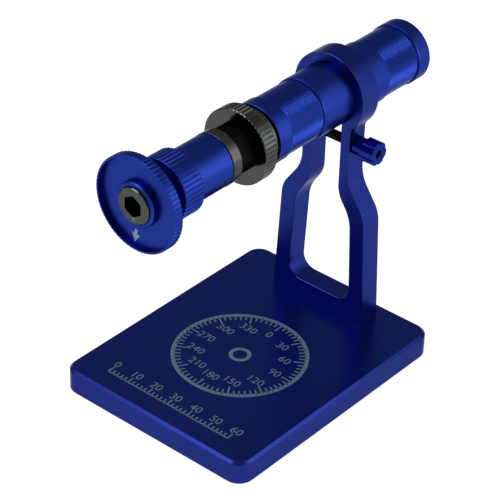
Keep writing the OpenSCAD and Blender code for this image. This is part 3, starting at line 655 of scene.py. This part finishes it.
# Pieces inside the barrel and under the base keep their solids and get their metal
bearingPieces = ("outer_race", "balls", "inner_race", "shields")
finishes = {groundSteel: [end + "_" + piece for end in ("front", "rear") for piece in bearingPieces]
            + ["spindle_shaft", "retaining_washer"],
            pressedBrass: ["front_cage", "rear_cage"], bareAluminium: ["bearing_spacer"],
            blackOxide: ["yoke_screws", "retaining_screw"]}
for material, nodes in finishes.items():
    for node in nodes:
        solid = frame["nodes"][node].data
        solid.materials.clear()
        solid.materials.append(material)

# Etched scales on the base: an angle ring with plain numbers and a short rule
scaleSize = {"centre": (0, -6), "ringRadius": 26.0, "ringWidth": 1.6, "ringSegments": 96, "hubRadius": 3.6,
             "tick": 3.0, "longTick": 5.0, "tickWidth": 0.6, "tickDegrees": 5, "numberDegrees": 30,
             "numberSize": 5.2, "numberRadius": 17.4, "numberSteps": 4, "ruleX": (-30, 30), "ruleY": -48.0,
             "ruleTick": 2.0, "ruleLongTick": 3.2, "ruleStep": 2, "ruleNumberStep": 10, "ruleNumberY": 5.2,
             "rise": 0.02}
bm = bmesh.new()


def etchBar(x, y, width, length, turn=0.0):
    place = Matrix.Translation((x, y, baseTop)) @ Matrix.Rotation(turn, 4, "Z")
    bar = Matrix.Diagonal((width, length, 2 * scaleSize["rise"], 1))
    bmesh.ops.create_cube(bm, size=1, matrix=place @ bar)


def etchCircle(x, y, radius, width):
    ring = bmesh.new()
    rise, inner, outer = scaleSize["rise"], radius - width / 2, radius + width / 2
    turnPiece(ring, evenPoints(scaleSize["ringSegments"]), [
        (-rise, "round", inner), (-rise, "round", outer), (rise, "round", outer), (rise, "round", inner)])
    place = Matrix.Translation((x, y, baseTop)) @ Matrix.Rotation(radians(90), 4, "X")
    bmesh.ops.transform(ring, matrix=place, verts=ring.verts)
    mesh = bpy.data.meshes.new("circle")
    ring.to_mesh(mesh)
    ring.free()
    bm.from_mesh(mesh)
    bpy.data.meshes.remove(mesh)


def etchNumber(text, x, y):
    curve = bpy.data.curves.new("number", "FONT")
    curve.body = text
    curve.size = scaleSize["numberSize"]
    curve.align_x = "CENTER"
    curve.align_y = "CENTER"
    curve.extrude = scaleSize["rise"]
    curve.resolution_u = scaleSize["numberSteps"]
    label = bpy.data.objects.new("number", curve)
    scene.collection.objects.link(label)
    shape = bpy.data.meshes.new_from_object(label.evaluated_get(bpy.context.evaluated_depsgraph_get()))
    shape.transform(Matrix.Translation((x, y, baseTop)))
    bm.from_mesh(shape)
    bpy.data.meshes.remove(shape)
    bpy.data.objects.remove(label)
    bpy.data.curves.remove(curve)


centreX, centreY = scaleSize["centre"]
for radius in (scaleSize["ringRadius"], scaleSize["hubRadius"]):
    etchCircle(centreX, centreY, radius, scaleSize["ringWidth"])
for degrees in range(0, 360, scaleSize["tickDegrees"]):
    isNumbered = degrees % scaleSize["numberDegrees"] == 0
    length = scaleSize["longTick"] if isNumbered else scaleSize["tick"]
    turn = radians(degrees)
    middle = scaleSize["ringRadius"] - length / 2
    etchBar(centreX + middle * sin(turn), centreY + middle * cos(turn), scaleSize["tickWidth"], length, -turn)
    if isNumbered:
        reach = scaleSize["numberRadius"]
        etchNumber(str(degrees), centreX + reach * sin(turn), centreY + reach * cos(turn))
ruleStart, ruleEnd = scaleSize["ruleX"]
etchBar((ruleStart + ruleEnd) / 2, scaleSize["ruleY"], ruleEnd - ruleStart, scaleSize["tickWidth"])
for i in range(0, ruleEnd - ruleStart + 1, scaleSize["ruleStep"]):
    isNumbered = i % scaleSize["ruleNumberStep"] == 0
    length = scaleSize["ruleLongTick"] if isNumbered else scaleSize["ruleTick"]
    etchBar(ruleStart + i, scaleSize["ruleY"] + length / 2, scaleSize["tickWidth"], length)
    if isNumbered:
        etchNumber(str(i), ruleStart + i, scaleSize["ruleY"] + scaleSize["ruleNumberY"])
finishPiece(bm, "base_scales", [etchedPlate], "stand")

# Floor: pale, and seen as white by the camera and by the metal, less the object's shadow
floorLook = {"size": 6.0, "drop": 0.1, "colour": "#e6e6e6", "shown": 0.3, "glow": 0.85}
floorMesh = bpy.data.meshes.new("floor")
bm = bmesh.new()
bmesh.ops.create_grid(bm, x_segments=1, y_segments=1, size=floorLook["size"],
                      matrix=Matrix.Translation((0, 0, -floorLook["drop"] * mm)))
bm.to_mesh(floorMesh)
bm.free()
floor = bpy.data.objects.new("floor", floorMesh)
scene.collection.objects.link(floor)
floorPaint, tree = newMaterial("studio_floor_matt_paper")
path = addNode(tree, "ShaderNodeLightPath")
seen = addNode(tree, "ShaderNodeMath", {"operation": "MAXIMUM"},
               {0: path.outputs["Is Camera Ray"], 1: path.outputs["Is Glossy Ray"]})
seenToo = addNode(tree, "ShaderNodeMath", {"operation": "MAXIMUM"},
                  {0: seen.outputs[0], 1: path.outputs["Is Transmission Ray"]})
paper = addNode(tree, "ShaderNodeBsdfDiffuse", {"Color": toLinear(floorLook["colour"])})
share = floorLook["shown"]
shadowed = addNode(tree, "ShaderNodeBsdfDiffuse", {"Color": (share, share, share, 1)})
glow = addNode(tree, "ShaderNodeEmission", {"Strength": floorLook["glow"]})
shown = addNode(tree, "ShaderNodeAddShader", {}, {0: shadowed.outputs[0], 1: glow.outputs[0]})
choice = addNode(tree, "ShaderNodeMixShader", {},
                 {0: seenToo.outputs[0], 1: paper.outputs[0], 2: shown.outputs[0]})
addNode(tree, "ShaderNodeOutputMaterial", {}, {"Surface": choice.outputs[0]})
floorMesh.materials.append(floorPaint)

# Light: a grey room and soft boxes; brightness is what a mirror would show of each box
lamps = {"left_box": {"towards": (-0.455, -0.485, 0.745), "distance": 1.4, "width": 1.1, "height": 0.66,
                      "brightness": 4.8},
         "right_panel": {"towards": (0.9, 0.3, 0.31), "distance": 0.9, "width": 0.84, "height": 0.62,
                         "brightness": 2.2},
         "back_box": {"towards": (0.5, 0.64, 0.59), "distance": 0.9, "width": 0.38, "height": 0.28,
                      "brightness": 0.6},
         "side_strip": {"towards": (0.96, 0.1, 0.25), "distance": 0.9, "width": 0.5, "height": 0.4,
                        "brightness": 3.6}}
roomGrey = 0.36
aim = Vector((0, 0, 60 * mm))
for name, lamp in lamps.items():
    data = bpy.data.lights.new(name, "AREA")
    data.shape = "RECTANGLE"
    data.size = lamp["width"]
    data.size_y = lamp["height"]
    data.energy = lamp["brightness"] * pi * lamp["width"] * lamp["height"]
    box = bpy.data.objects.new(name, data)
    towards = Vector(lamp["towards"]).normalized()
    facing = towards.to_track_quat("Z", "Y").to_matrix().to_4x4()
    box.matrix_world = Matrix.Translation(aim + towards * lamp["distance"]) @ facing
    box.visible_camera = False
    scene.collection.objects.link(box)
scene.world = bpy.data.worlds.new("grey_room")
scene.world.use_nodes = True
room = scene.world.node_tree.nodes["Background"]
room.inputs["Color"].default_value = (roomGrey, roomGrey, roomGrey, 1)
scene.view_settings.view_transform = "Standard"
print("lamps and floor ready")

# Camera: the photograph's view
view = {"azimuth": 39.507, "elevation": 33.979, "roll": 1.909, "place": (439.962, -535.631, 522.843),
        "lens": 159.952}
azimuth, elevation = radians(view["azimuth"]), radians(view["elevation"])
back = Vector((sin(azimuth) * cos(elevation), -cos(azimuth) * cos(elevation), sin(elevation)))
right = Vector((cos(azimuth), sin(azimuth), 0))
turn = Matrix((right, back.cross(right), back)).transposed() @ Matrix.Rotation(radians(view["roll"]), 3, "Z")
cameraData = bpy.data.cameras.new("camera")
cameraData.lens = view["lens"]
camera = bpy.data.objects.new("camera", cameraData)
camera.matrix_world = Matrix.Translation(Vector(view["place"]) * mm) @ turn.to_4x4()
scene.collection.objects.link(camera)
scene.camera = camera
